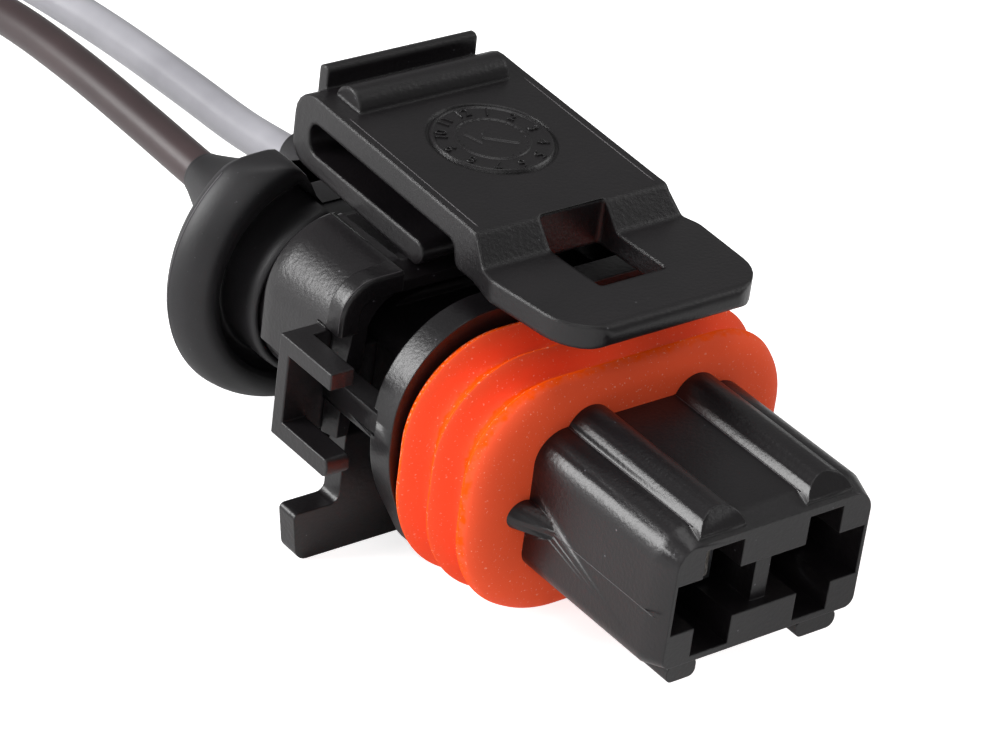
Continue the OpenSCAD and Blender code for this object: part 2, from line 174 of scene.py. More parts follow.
def new_material(name):
    """An empty node material and its output."""
    material = bpy.data.materials.new(name)
    material.use_nodes = True
    material.node_tree.nodes.clear()
    out = material.node_tree.nodes.new("ShaderNodeOutputMaterial")
    return material, material.node_tree, out


def ramp(tree, value, stops):
    """A colour ramp from a list of (position, hex colour)."""
    node = add(tree, "ShaderNodeValToRGB", Fac=value)
    elements = node.color_ramp.elements
    while len(elements) > len(stops):
        elements.remove(elements[-1])
    while len(elements) < len(stops):
        elements.new(1.0)
    for element, (position, colour) in zip(elements, stops):
        element.position, element.color = position, linear(colour)
    return node.outputs["Color"]

# %% [markdown]
# ## Insulated leads
# Each lead is a strand of bare copper in PVC insulation, 2.4 mm across and about 0.25 m long. The
# PVC is extruded over the strand, so its skin is smooth and a little glossy, with soft clouds of
# colour and a slight unevenness. That is far finer than the mesh, so noise in the shader makes it.

# %% PVC insulation, extruded
def pvc(name, light, dark):
    """Extruded PVC: smooth and slightly glossy, clouded, with a fine uneven skin."""
    material, tree, out = new_material(name)
    place = add(tree, "ShaderNodeTexCoord").outputs["Object"]
    # clouds 4.5 mm across, and unevenness 0.4 mm across
    cloud = add(tree, "ShaderNodeTexNoise", Vector=place, Scale=220.0, Detail=4.0)
    colour = ramp(tree, cloud.outputs["Fac"], [(0.3, dark), (0.7, light)])
    fine = add(tree, "ShaderNodeTexNoise", Vector=place, Scale=2600.0, Detail=2.0)
    bump = add(tree, "ShaderNodeBump", Strength=0.12, Distance=0.00002, Height=fine.outputs["Fac"])
    shader = add(tree, "ShaderNodeBsdfPrincipled", Base_Color=colour, Roughness=0.38,
                 Normal=bump.outputs["Normal"])
    tree.links.new(shader.outputs["BSDF"], out.inputs["Surface"])
    return material


brown_pvc = pvc("pvc_extruded_brown", "#403334", "#362B2C")
grey_pvc = pvc("pvc_extruded_grey", "#A9A8AE", "#98979D")
print("insulation:", brown_pvc.name, grey_pvc.name)

# %% [markdown]
# ## Bare metal
# Copper strand, tinned contacts and spring steel are all drawn or rolled, which leaves fine marks
# along them. One function serves the three: fully metallic, in the metal's own colour, with noise
# stretched along Y for the marks.

# %% Bare copper, drawn
def bare_metal(name, body, rough):
    """Drawn or rolled metal, with fine lengthwise marks from the die or the rolls."""
    material, tree, out = new_material(name)
    place = add(tree, "ShaderNodeTexCoord").outputs["Object"]
    # marks 0.2 mm apart and 3 mm long; the real ones are ten times finer and wouldn't show
    stretch = add(tree, "ShaderNodeMapping", Vector=place, Scale=(5000.0, 300.0, 5000.0))
    marks = add(tree, "ShaderNodeTexNoise", Vector=stretch.outputs["Vector"], Scale=1.0, Detail=3.0)
    bump = add(tree, "ShaderNodeBump", Strength=0.15, Distance=0.00002, Height=marks.outputs["Fac"])
    shader = add(tree, "ShaderNodeBsdfPrincipled", Base_Color=linear(body), Metallic=1.0,
                 Roughness=rough, Normal=bump.outputs["Normal"])
    tree.links.new(shader.outputs["BSDF"], out.inputs["Surface"])
    return material


bare_copper = bare_metal("copper_bare_stranded", "#C98A5E", 0.35)
print("strands:", bare_copper.name)

# %% [markdown]
# ## The way the leads lie
# A lead leaves its rubber trumpet straight, sinks to the table, and what isn't in use is stored in
# nearly two flat turns, the grey lead on the brown one. The line is drawn through listed points
# by a Catmull-Rom curve, which passes through every one of them, and goes on round the coil. It is
# then cut into equal steps, so that the rings of the tube are evenly spaced.

# %% Centre lines of the leads
LEAD_D = 2.4  # outside the insulation
COIL, COIL_R = np.array([11.7, 104.0]), 15.0  # middle of the coil, and radius of the outer turn
BROWN_TURNS_Z, GREY_TURNS_Z = -7.8, -5.35  # the brown turns lie on the table, the grey ones on them
LINE_STEP = 0.8
brown_route = [
    (-3.3, 20.7, -0.2), (-3.3, 40, -0.2), (-3.3, 47.5, -0.1), (-3.3, 54, 0.1), (-3.3, 61, 0.2),
    (-3.3, 68, -0.1), (-3.3, 74, -1), (-3.3, 80, -2.6), (-3.3, 86, -4.7), (-3.3, 92, -6.5),
    (-3.3, 98, -7.6), (-3.3, 104, BROWN_TURNS_Z)]
grey_route = [
    (3.3, 20.7, -0.2), (3.3, 40, -0.2), (3.3, 47.5, -0.8), (3.3, 53, -1.4), (3.3, 59, -1.6),
    (3.3, 66, -1.9), (3.2, 72, -2.3), (2.7, 78, -2.6), (1.6, 84, -2.9), (-0.4, 91, -3.8),
    (-2.4, 98, -4.9), (-3.3, 104, GREY_TURNS_Z)]
brown_end = np.array([0.82, 98.93, BROWN_TURNS_Z])
grey_end = np.array([7.6, 92.72, GREY_TURNS_Z])


def catmull_rom(points, steps=12):
    """Each stretch is 0.5 (2b + (c-a) t + (2a-5b+4c-d) t^2 + (3b-a-3c+d) t^3), from b to c, with a
    and d the points before and after."""
    p = np.asarray(points, float)
    p = np.concatenate([[2 * p[0] - p[1]], p, [2 * p[-1] - p[-2]]])
    t = np.linspace(0, 1, steps, endpoint=False)[None, :, None]
    a, b, c, d = (p[k:len(p) - 3 + k, None, :] for k in range(4))
    square, cube = 2 * a - 5 * b + 4 * c - d, 3 * b - a - 3 * c + d
    curve = 0.5 * (2 * b + (c - a) * t + square * t**2 + cube * t**3)
    return np.concatenate([curve.reshape(-1, 3), p[-2:-1]])


def stored_turns(end, height):
    """Flat turns, clockwise from the left of the coil to the angle end, in degrees. The radius
    starts at COIL_R and shrinks by a lead's diameter over the last 60 degrees of each turn."""
    angle = np.radians(np.arange(6, end + 1, 6.0))
    step = np.clip((np.degrees(angle) % 360 - 300) / 60, 0, 1)
    radius = COIL_R - LEAD_D * (np.degrees(angle) // 360 + step * step * (3 - 2 * step))
    x, y = COIL[0] - radius * np.cos(angle), COIL[1] + radius * np.sin(angle)
    return np.stack([x, y, np.full_like(x, height)], axis=1)


def even_steps(line, step):
    """The same line with points at equal distances along it."""
    run = np.concatenate([[0], np.cumsum(np.linalg.norm(np.diff(line, axis=0), axis=1))])
    at = np.linspace(0, run[-1], int(round(run[-1] / step)) + 1)
    return np.stack([np.interp(at, run, line[:, k]) for k in range(3)], axis=1)


def centre_line(route, turned, end):
    """The route, the stored turns and the point where the bare strand starts, in equal steps."""
    turns = stored_turns(turned, end[2])
    return even_steps(np.concatenate([catmull_rom(route), turns, [end]]), LINE_STEP)


brown_line = centre_line(brown_route, 684, brown_end)
grey_line = centre_line(grey_route, 642, grey_end)
print("centre lines of", len(brown_line), "and", len(grey_line), "points")

# %% [markdown]
# ## Tubes and strands
# The insulation is a tube: a circle carried along the centre line. At the far end it is stripped
# for splicing, and the bare strand is seven thinner tubes, one straight and six that wind round
# it.

# %% Tubes along a line
def tube_grid(line, radius, sides=24, pole=(0.0, 0.0, 1.0)):
    """P(s, a) = line(s) + radius(s) (cos a U + sin a V), with U square to the line and the pole,
    and V square to U and the line."""
    line = np.asarray(line, float)
    along = np.gradient(line, axis=0)
    along /= np.linalg.norm(along, axis=1, keepdims=True)
    level = np.cross(along, pole)
    level /= np.linalg.norm(level, axis=1, keepdims=True)
    other = np.cross(level, along)
    a = np.linspace(0, 2 * np.pi, sides, endpoint=False)
    ring = np.cos(a)[None, :, None] * level[:, None] + np.sin(a)[None, :, None] * other[:, None]
    return line[:, None] + np.broadcast_to(radius, len(line))[:, None, None] * ring


def closed_tube(line, radius, sides=24, pole=(0.0, 0.0, 1.0)):
    """A tube whose ends are drawn in to their centres, so that it is a closed solid."""
    grid = tube_grid(line, radius, sides, pole)
    start, stop = (np.repeat(p[None, None, :], sides, axis=1) for p in (line[0], line[-1]))
    return np.concatenate([start, grid, stop])

# %% Strands of a stripped end
STRIPPED, STRAND_R, LAY = 5.5, 0.265, 14.0  # bare length, radius of one strand, length of one turn


def strands(name, start, heading, node):
    """Seven strands, six of them at two radii from the middle one: P(s) = start + s D +
    2 STRAND_R (cos a W + sin a Z), with a = 60 degrees k + 360 s / LAY and W level, square to D."""
    s = np.linspace(-0.3, STRIPPED, 24)[:, None]
    d, w = (np.array([np.cos(a), np.sin(a), 0.0]) for a in np.radians([heading, heading + 90]))
    grids = []
    for k in range(7):
        a = np.radians(60 * k) + 2 * np.pi * s / LAY
        wide = 0.0 if k == 6 else 2 * STRAND_R
        line = start + s * d + wide * (np.cos(a) * w + np.sin(a) * np.array([0.0, 0.0, 1.0]))
        grids.append((closed_tube(line, STRAND_R, 10), False, True))
    piece = surface(name, grids, bare_copper)
    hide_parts(node)
    return piece

# %% Both leads
def lead(name, line, material, node, coil):
    """A lead as one tube, in place of its CAD wire and coil."""
    piece = surface(name, [(closed_tube(line, LEAD_D / 2), False, True)], material)
    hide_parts(node, coil)
    return piece


brown_strands = strands("strands_brown", brown_end, 90, "tip_brown")
brown_lead = lead("lead_brown", brown_line, brown_pvc, "wire_brown",
                  "coil_brown")
grey_strands = strands("strands_grey", grey_end, 135, "tip_grey")
grey_lead = lead("lead_grey", grey_line, grey_pvc, "wire_grey",
                 "coil_grey")

# %% [markdown]
# ## Face seal
# The seal is moulded in liquid silicone and stretched round the nose. Its three soft ridges press
# against the inside of the header's collar. Silicone scatters light a little below its surface, is
# never glossy when new, and holds pale dust on its crests. Its slopes that face the front are
# painted a little paler: painted light, standing in for the white light that falls on them. Slope
# and crest are known from the shape alone, so the mesh carries a number for each at every point,
# and the material reads them.

# %% Liquid silicone, moulded
def silicone(name, deep, painted_light_pale):
    """Moulded silicone: saturated, soft, painted paler as painted light on the slopes that face the
    front, and dusty at crest_edge.
    """
    material, tree, out = new_material(name)
    place = add(tree, "ShaderNodeTexCoord").outputs["Object"]
    # painted light: this number is high on the slopes that face the front, and makes them paler
    slope = add(tree, "ShaderNodeAttribute", {"attribute_name": "painted_light_front_slope"}).outputs["Fac"]
    edge = add(tree, "ShaderNodeAttribute", {"attribute_name": "crest_edge"}).outputs["Fac"]
    # unevenness 0.45 mm across, and specks of dust 0.14 mm across
    cloud = add(tree, "ShaderNodeTexNoise", Vector=place, Scale=2200.0, Detail=4.0)
    # painted light: the front slopes' number lifts the ramp to the pale colour; the noise only
    # makes its edge ragged
    uneven = add(tree, "ShaderNodeMath", {"operation": "MULTIPLY_ADD"}, i0=cloud.outputs["Fac"],
                 i1=0.9, i2=slope)
    body = ramp(tree, uneven.outputs["Value"], [(0.72, deep), (0.98, painted_light_pale)])
    grain = add(tree, "ShaderNodeTexNoise", Vector=place, Scale=7000.0, Detail=3.0)
    powder = add(tree, "ShaderNodeMath", {"operation": "MULTIPLY_ADD"}, i0=edge, i1=0.14,
                 i2=grain.outputs["Fac"])
    dust = add(tree, "ShaderNodeMapRange", {"interpolation_type": "SMOOTHSTEP"},
               Value=powder.outputs["Value"], From_Min=0.64, From_Max=0.74, To_Min=0.0, To_Max=0.55)
    colour = add(tree, "ShaderNodeMix", {"data_type": "RGBA"}, Factor=dust.outputs["Result"],
                 i6=body, i7=linear("#FFC2A6"))
    bump = add(tree, "ShaderNodeBump", Strength=0.3, Distance=0.00003, Height=grain.outputs["Fac"])
    shader = add(tree, "ShaderNodeBsdfPrincipled", Base_Color=colour.outputs[2], Roughness=0.55,
                 IOR=1.41, Specular_IOR_Level=0.1, Subsurface_Weight=0.12, Subsurface_Scale=0.0006,
                 Normal=bump.outputs["Normal"])
    shader.inputs["Subsurface Radius"].default_value = (1.0, 0.35, 0.12)
    tree.links.new(shader.outputs["BSDF"], out.inputs["Surface"])
    return material


# painted light: the second colour is the paler one painted on the slopes that face the front
orange_silicone = silicone("silicone_moulded_orange", "#FF5200", "#FA5C36")
print("seal:", orange_silicone.name)

# %% [markdown]
# ## One profile, carried round
# Seal and boot are both made of one section that runs round the axis. The outline it follows is a
# ring of straight sides and quarter arcs, and the profile's offset pushes each point outwards from
# it, so the corners stay true arcs at every offset.

# %% A profile carried round an outline
def outline(corners, arc_steps=20, side_step=0.6):
    """Points of an outline and its outward directions. A corner (x, z, radius, start) turns
    through 90 degrees, P = (x, z) + radius (cos a, sin a), and straight sides join the corners."""
    base, out = [], []
    for k, (x, z, radius, start) in enumerate(corners):
        turn_by = np.radians(start + np.linspace(0, 90, arc_steps + 1))
        ray = np.stack([np.cos(turn_by), np.sin(turn_by)], axis=1)
        base.append(np.array([x, z]) + radius * ray)
        out.append(ray)
        nx, nz, nr, _ = corners[(k + 1) % len(corners)]
        here, there = base[-1][-1], np.array([nx, nz]) + nr * ray[-1]
        n = int(np.linalg.norm(there - here) / side_step)
        if n > 1:
            t = np.linspace(0, 1, n + 1)[1:-1, None]
            base.append(here * (1 - t) + there * t)
            out.append(np.repeat(ray[-1:], n - 1, axis=0))
    return np.concatenate(base), np.concatenate(out)


def carried_round(profile, path, centre_z=0.0):
    """P(s, t) = base(t) + offset(s) outward(t), at station(s) along the axis; a profile is a list
    of (offset, station), and the centre's height may change from row to row."""
    base, out = path
    profile = np.asarray(profile, float)
    across = base[None] + profile[:, :1, None] * out[None]
    grid = np.empty((*across.shape[:2], 3))
    grid[..., 0] = across[..., 0]
    grid[..., 2] = across[..., 1] + np.broadcast_to(centre_z, len(profile))[:, None]
    grid[..., 1] = profile[:, 1:2]
    return grid


def soft_line(points, steps=8):
    """A profile of a few points, rounded by the Catmull-Rom curve through them."""
    flat = np.concatenate([np.asarray(points, float), np.zeros((len(points), 1))], axis=1)
    return catmull_rom(flat, steps)[:, :2]

# %% Seal with three ridges
CREST, PITCH, VALLEY = 12.4, 2.3, 1.2  # station of the first crest, crest to crest, depth
VALLEY_SHAPE = 0.68  # below 1, the valleys are broad and the crests narrow
TAPER = 0.1  # each crest stands this much further out for each mm behind the middle one
seal_outline = outline([(5.2, 1.0, 5.5, 0), (-5.2, 1.0, 5.5, 90), (-3.6, -1.35, 7.1, 180),
                        (3.6, -1.35, 7.1, 270)], arc_steps=32)
stations = np.linspace(CREST, CREST + 2 * PITCH, 97)
wave = TAPER * (stations - CREST - PITCH)
wave -= VALLEY * (0.5 - 0.5 * np.cos(2 * np.pi * (stations - CREST) / PITCH)) ** VALLEY_SHAPE
front = soft_line([(-4.3, 12.0), (-4.3, 11.25), (-3.4, 11.2), (-2.0, 11.22), (-1.1, 11.42),
                   (-0.5, 11.85), (-0.23, 12.38)])
rear = soft_line([(0.23, 17.02), (0, 17.4), (-0.5, 17.66), (-2.4, 17.69), (-4.3, 17.6),
                  (-4.3, 12.1)])
seal_profile = np.concatenate([front[:-1], np.stack([wave, stations], axis=1), rear[1:]])
seal_grid = carried_round(seal_profile, seal_outline)
seal = surface("seal_ridged", [(seal_grid, True, True)], orange_silicone)
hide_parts("interface_seal")

# %% Numbers on the seal for its material
def paint(mesh, name, values):
    """A number for each point of a mesh, for its material to read."""
    store = mesh.attributes.new(name, "FLOAT", "POINT").data
    store.foreach_set("value", np.asarray(values, float))


def point_values(mesh, what):
    """One row of three numbers for each point of a mesh: its place, co, or its normal."""
    flat = np.empty(len(mesh.vertices) * 3)
    mesh.vertices.foreach_get(what, flat)
    return flat.reshape(-1, 3)


def own_points(mesh):
    """A mesh's points in millimetres from the working datum."""
    return point_values(mesh, "co") / MM - DATUM


DUST_BEHIND, DUST_SPREAD = 0.5, 0.4  # where dust lies, in radians of the wave behind each crest
phase = 2 * np.pi * (own_points(seal.data)[:, 1] - CREST) / PITCH
beside_crest = np.mod(phase + np.pi, 2 * np.pi) - np.pi - DUST_BEHIND
# painted light: points whose normals face the front get a number that paints them paler
paint(seal.data, "painted_light_front_slope", np.clip(-point_values(seal.data, "normal")[:, 1], 0, 1))
paint(seal.data, "crest_edge", np.exp(-((beside_crest / DUST_SPREAD) ** 2)))
print("painted painted_light_front_slope and crest_edge on", len(phase), "points")

# %% [markdown]
# ## Rear boot
# The boot is soft black rubber: a bell that flares towards the housing, with two trumpets that
# grip the leads. The bell is again one profile, carried round the short line between the two leads,
# and its top is pressed down where the latch's tail needs room. Moulded rubber is matt, slightly
# grey, and shows a fine line where the mould's halves met.

# %% Moulded EPDM rubber
def rubber(name, body, bloom):
    """Moulded EPDM: dark, matt, with a faint grey bloom in soft patches and fine dust."""
    material, tree, out = new_material(name)
    place = add(tree, "ShaderNodeTexCoord").outputs["Object"]
    # bloom in patches 3.3 mm across, and specks of dust 0.17 mm across
    cloud = add(tree, "ShaderNodeTexNoise", Vector=place, Scale=300.0, Detail=6.0, Roughness=0.6)
    colour = ramp(tree, cloud.outputs["Fac"], [(0.35, body), (0.75, bloom)])
    grain = add(tree, "ShaderNodeTexNoise", Vector=place, Scale=6000.0, Detail=3.0)
    dust = add(tree, "ShaderNodeMapRange", {"interpolation_type": "SMOOTHSTEP"},
               Value=grain.outputs["Fac"], From_Min=0.68, From_Max=0.8, To_Min=0.0, To_Max=0.25)
    mixed = add(tree, "ShaderNodeMix", {"data_type": "RGBA"}, Factor=dust.outputs["Result"],
                i6=colour, i7=linear("#8C8A8E"))
    bump = add(tree, "ShaderNodeBump", Strength=0.2, Distance=0.00003, Height=grain.outputs["Fac"])
    shader = add(tree, "ShaderNodeBsdfPrincipled", Base_Color=mixed.outputs[2], Roughness=0.5,
                 Normal=bump.outputs["Normal"])
    tree.links.new(shader.outputs["BSDF"], out.inputs["Surface"])
    return material


black_epdm = rubber("epdm_moulded_black", "#141315", "#201E21")
print("boot:", black_epdm.name)

# %% Profile of the bell
HALF_PITCH = 3.3  # from the middle to each lead
NECK_Z, BELL_Z = -0.75, -0.15  # centre's height inside the bell and outside it
inside = soft_line([(4.9, 36.98), (4.9, 34.35), (5.38, 34.35), (5.42, 36.85), (5.85, 36.95),
                    (6.15, 36.4), (6.45, 35.85)], 6)
outside = soft_line([(6.47, 35.83), (7.1, 35.42), (7.75, 35.5), (8.5, 36.25), (8.84, 37.3),
                     (8.5, 38.0), (7.7, 38.8), (6.3, 39.5), (4.4, 40.1), (2.0, 40.4),
                     (0.0, 40.5)], 6)
bell_profile = np.concatenate([[(0.0, 37.0)], inside, outside])
bell_centre = np.concatenate([np.full(len(inside) + 1, NECK_Z), np.full(len(outside), BELL_Z)])
# twelve rows at the rim's front lead from one height to the other
bell_centre[len(inside) - 5:len(inside) + 7] = np.linspace(NECK_Z, BELL_Z, 12)
print("bell:", len(bell_profile), "points from its inside to its back")

# %% Bell with its top pressed down
DIP_Z, DIP_DEPTH = 4.3, 2.9  # height of the low middle, and how far it is below the outside
DIP_HALF, DIP_RISE = 3.89, 2.2  # half width of the low middle, and width of the rise beside it
RIM_Y, BACK_SLOPE = 37.5, 0.67  # station of the rim, and fall of the top for each mm behind it
SOFTEN = 0.6  # how far below the limit the rounding starts


def top_limit(x, y):
    """Height of the boot's top: low in the middle, rising to the outside as a quarter sine, and
    falling evenly behind the rim."""
    t = np.clip((np.abs(x) - DIP_HALF) / DIP_RISE, 0, 1)
    return DIP_Z + DIP_DEPTH * np.sin(np.pi / 2 * t) - BACK_SLOPE * np.clip(y - RIM_Y, 0, None)


def press_top(grid):
    """Points near or above the limit are brought below it: z = limit - c exp(-(z - limit + c) / c),
    with c = SOFTEN."""
    limit = top_limit(grid[..., 0], grid[..., 1])
    over = grid[..., 2] - limit
    pressed = limit - SOFTEN + SOFTEN * (1 - np.exp(-(over + SOFTEN) / SOFTEN))
    grid[..., 2] = np.where(over > -SOFTEN, pressed, grid[..., 2])
    return grid


lead_to_lead = outline([(HALF_PITCH, 0, 0, 0), (-HALF_PITCH, 0, 0, 90), (-HALF_PITCH, 0, 0, 180),
                        (HALF_PITCH, 0, 0, 270)], arc_steps=28, side_step=0.3)
bell = press_top(carried_round(bell_profile, lead_to_lead, bell_centre))
print("bell:", bell.shape[0], "rows of", bell.shape[1])

# %% Trumpets, and the boot as one piece
MOUTH_Y, TRUMPET_Z = 47.3, -0.1


def trumpet(side):
    """r(s) = 1.35 + 0.35 s + 0.012 s^2 at the distance s before the mouth, then turned in to grip
    the lead."""
    s = np.linspace(7.6, 0, 40)
    r = np.concatenate([1.35 + 0.35 * s + 0.012 * s**2, [1.34, 1.3, 1.24, 1.21, 1.21]])
    y = np.concatenate([MOUTH_Y - s, [47.4, 47.46, 47.48, 47.3, 46.0]])
    a = np.linspace(0, 2 * np.pi, 64, endpoint=False)
    grid = np.empty((len(r), len(a), 3))
    grid[..., 0] = side * HALF_PITCH + r[:, None] * np.cos(a)
    grid[..., 1] = y[:, None]
    grid[..., 2] = TRUMPET_Z + r[:, None] * np.sin(a)
    return grid


boot_grids = [(grid, False, True) for grid in (bell, trumpet(-1), trumpet(1))]
boot = surface("boot_bell", boot_grids, black_epdm)
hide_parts("rear_boot")

# %% [markdown]
# ## Moulded PBT
# Housing, latch and secondary lock are injection moulded in PBT: nearly black and satin, with soft
# highlights where edges are rounded, a fine grain that was spark-eroded into the mould, and specks
# of dust. Grain and dust are noise and Voronoi cells in the shader. The Bevel node rounds the light
# on each edge a little further than the mesh does.

# %% Satin PBT, injection moulded
def pbt(name, body, lift, rough, edge=0.00012):
    """Injection-moulded PBT: near-black, satin, with mould grain, dust and edges softened by the
    radius edge, in metres."""
    material, tree, out = new_material(name)
    place = add(tree, "ShaderNodeTexCoord").outputs["Object"]
    # clouds 4 mm across; grain 0.24 mm across, coarser than the real 0.05 mm, so that it shows
    cloud = add(tree, "ShaderNodeTexNoise", Vector=place, Scale=260.0, Detail=5.0)
    colour = ramp(tree, cloud.outputs["Fac"], [(0.3, body), (0.75, lift)])
    grain = add(tree, "ShaderNodeTexNoise", Vector=place, Scale=4200.0, Detail=4.0)
    # dust: of the cells, 0.6 mm across, a few have a speck of about 0.1 mm
    speck = add(tree, "ShaderNodeTexVoronoi", Vector=place, Scale=1600.0)
    near = add(tree, "ShaderNodeMapRange", Value=speck.outputs["Distance"], From_Min=0.05,
               From_Max=0.11, To_Min=0.55, To_Max=0.0)
    few = add(tree, "ShaderNodeMath", {"operation": "GREATER_THAN"}, i0=speck.outputs["Color"],
              i1=0.82)
    dust = add(tree, "ShaderNodeMath", {"operation": "MULTIPLY"}, i0=near.outputs["Result"],
               i1=few.outputs["Value"])
    mixed = add(tree, "ShaderNodeMix", {"data_type": "RGBA"}, Factor=dust.outputs["Value"],
                i6=colour, i7=linear("#77757A"))
    soft = add(tree, "ShaderNodeBevel", {"samples": 6}, Radius=edge)
    bump = add(tree, "ShaderNodeBump", Strength=0.6, Distance=0.00003, Height=grain.outputs["Fac"],
               Normal=soft.outputs["Normal"])
    shader = add(tree, "ShaderNodeBsdfPrincipled", Base_Color=mixed.outputs[2], Roughness=rough,
                 Normal=bump.outputs["Normal"])
    tree.links.new(shader.outputs["BSDF"], out.inputs["Surface"])
    return material


satin_pbt = pbt("pbt_moulded_black", "#0F0D0F", "#171416", 0.33)
latch_pbt = pbt("pbt_moulded_black_latch", "#0F0D0F", "#171416", 0.33, 0.0003)
lock_pbt = pbt("pbt_moulded_black_lock", "#110F11", "#191618", 0.38)
print("mouldings:", satin_pbt.name, latch_pbt.name, lock_pbt.name)

# %% [markdown]
# ## Housing, latch and secondary lock
# These keep their CAD shapes, except for the housing's hood, webs and contact mouths, which the
# next cells change. A CAD mesh is loose triangles, so each piece is a copy whose triangles are
# merged into flat faces. A Bevel modifier breaks its sharp edges by the small radius that every
# mould leaves, and Weighted Normal keeps the large faces flat in the light.

# %% Merged copies, with their edges broken
FLAT, SHARP = math.radians(0.6), math.radians(32)  # below: one face; above: an edge to break
SAME_POINT, NO_EDGE = 2e-6, 1e-6  # metres: points this close are one, edges this short are none


def merged_copy(node, cuts=()):
    """A copy of a CAD node's mesh with its triangles merged into flat faces, and cut across at
    the given stations so that parts of it can be moved apart."""
    mesh = nodes[node].data.copy()
    work = bmesh.new()
    work.from_mesh(mesh)
    bmesh.ops.remove_doubles(work, verts=work.verts, dist=SAME_POINT)
    bmesh.ops.dissolve_degenerate(work, edges=work.edges, dist=NO_EDGE)
    bmesh.ops.dissolve_limit(work, angle_limit=FLAT, verts=work.verts, edges=work.edges)
    for station in cuts:
        everything = list(work.verts) + list(work.edges) + list(work.faces)
        at = (0, (station + DATUM[1]) * MM, 0)
        bmesh.ops.bisect_plane(work, geom=everything, plane_co=at, plane_no=(0, 1, 0))
    work.to_mesh(mesh)
    work.free()
    return mesh


def moulded(node, name, mesh, material, body, radius):
    """A piece from a merged copy: its sharp edges rounded by a radius in millimetres, and its
    curved faces shaded smooth."""
    mesh.materials.clear()
    mesh.materials.append(material)
    mesh.shade_smooth()
    mesh.set_sharp_from_angle(angle=SHARP)
    piece = placed(name, mesh, body)
    broken = piece.modifiers.new("broken_edges", "BEVEL")
    broken.width, broken.segments, broken.limit_method = radius * MM, 2, "ANGLE"
    broken.angle_limit, broken.harden_normals = SHARP, True
    even = piece.modifiers.new("flat_faces_stay_flat", "WEIGHTED_NORMAL")
    even.weight, even.keep_sharp = 90, True
    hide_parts(node)
    return piece


latch = moulded("latch", "latch_moulded", merged_copy("latch"), latch_pbt, "latch", 0.12)
lock = moulded("secondary_lock", "lock_moulded", merged_copy("secondary_lock"), lock_pbt,
               "secondary_lock", 0.08)

# %% [markdown]
# ## Hood
# The hood is the cover over the lock. Behind a narrow lip it is a barrel: its corners turn on a
# larger radius than the lip's, and its sides reach down behind the lock. The copy of the housing is
# brought in a little at those corners and its rear walls are let down, and two thin shells make the
# visible skin. The points to move are picked by where they lie, all at once.

# %% Housing with its rear walls let down
HOOD_Y0, HOOD_Y1 = 23.0, 30.0  # stations of the lip's front and of the hood's back
HOOD_EDGE, WALL_END = 4.3, 0.6  # height of the sides' lower edge, before and after letting down
SLOT_END = 25.1  # the lock's slot ends here, and the walls are let down behind it
LIP_TOP = 7.3  # height that the front edge of the hood is raised to
CORNER_FROM = 7.6  # the hood's corners start this far from the middle
CORNER_IN, END_IN = 0.55, 0.12  # room for the skin at the corners and at both ends
WEB_IN, WEB_DOWN = 0.72, 0.35  # the webs beside the flange end lower and further in


def between(values, low, high):
    """True where low < value < high."""
    return (values > low) & (values < high)


def close_to(values, place):
    """True where a value is a place of the CAD model, within 0.02 mm."""
    return np.abs(values - place) < 0.02


housing_mesh = merged_copy("housing", (SLOT_END, SLOT_END + 0.03))
points = own_points(housing_mesh)
x, y, z = points.T  # three views, so that a change to one of them changes points
let_down = close_to(z, HOOD_EDGE) & (y > SLOT_END + 0.02)
z[let_down] = WALL_END
front_edge = between(y, HOOD_Y0 - 0.1, 25) & between(z, 6.8, LIP_TOP) & (np.abs(x) < 10)
z[front_edge] = LIP_TOP
corner = (y > HOOD_Y0 - 0.1) & (z > HOOD_EDGE + 0.05) & (np.abs(x) > 8.2)
x[corner] -= CORNER_IN * np.sign(x[corner])
z[corner] -= CORNER_IN * np.clip((np.abs(x[corner]) - CORNER_FROM) / 1.5, 0, 1)
ends = (np.abs(x) > CORNER_FROM) & (z > WALL_END - 0.1)
y[ends & (y > HOOD_Y1 - 0.01)] -= END_IN
y[ends & (z > HOOD_EDGE) & close_to(y, HOOD_Y0)] += END_IN
web = (np.abs(x) > 11.7) & between(y, 18, 24.1) & between(z, 0.3, 2.3)
x[web] -= WEB_IN * np.sign(x[web])
z[web] -= WEB_DOWN
print("let down", int(let_down.sum()), "points, brought in", int(corner.sum()), "at the corners",
      "and", int(web.sum()), "on the webs")

# %% Mouths of the contact chambers, and the housing as a piece
in_nose = y < 12
x[in_nose & close_to(x, -4.45)] = -4.64  # side of the left mouth's notch
z[in_nose & close_to(z, 3.1)] = 2.9  # top of both mouths
housing_mesh.vertices.foreach_set("co", to_frame(points).ravel())
housing = moulded("housing", "housing_moulded", housing_mesh, satin_pbt, "connector", 0.1)

# %% Skin of the hood's corners
def at_station(points, y):
    """Points (x, z) placed at a station."""
    points = np.asarray(points, float)
    return np.column_stack([points[:, 0], np.full(len(points), y), points[:, 1]])


HALF_WIDTH, TOP, LIP_R = 11.14, 7.37, 2.1  # outside of the skin, and the lip's corner radius
INNER_HALF, INNER_TOP, WALL = 9.95, 6.2, 1.2  # inside of it, and the difference of their radii
FLAT_FROM = 7.3  # the skin starts this far from the middle, on the flat top


def hood_section(width, top, radius, bottom):
    """From the flat top straight to the corner, through an arc and straight down the side:
    P = centre + radius (sin a, cos a) for a from 0 to 90 degrees."""
    a = np.linspace(0, np.pi / 2, 26)
    arc = np.stack([width - radius + radius * np.sin(a), top - radius + radius * np.cos(a)], axis=1)
    flat = np.stack([np.linspace(FLAT_FROM, arc[0, 0], 4)[:-1], np.full(3, top)], axis=1)
    side = np.stack([np.full(4, width), np.linspace(arc[-1, 1], bottom, 5)[1:]], axis=1)
    return np.concatenate([flat, arc, side])


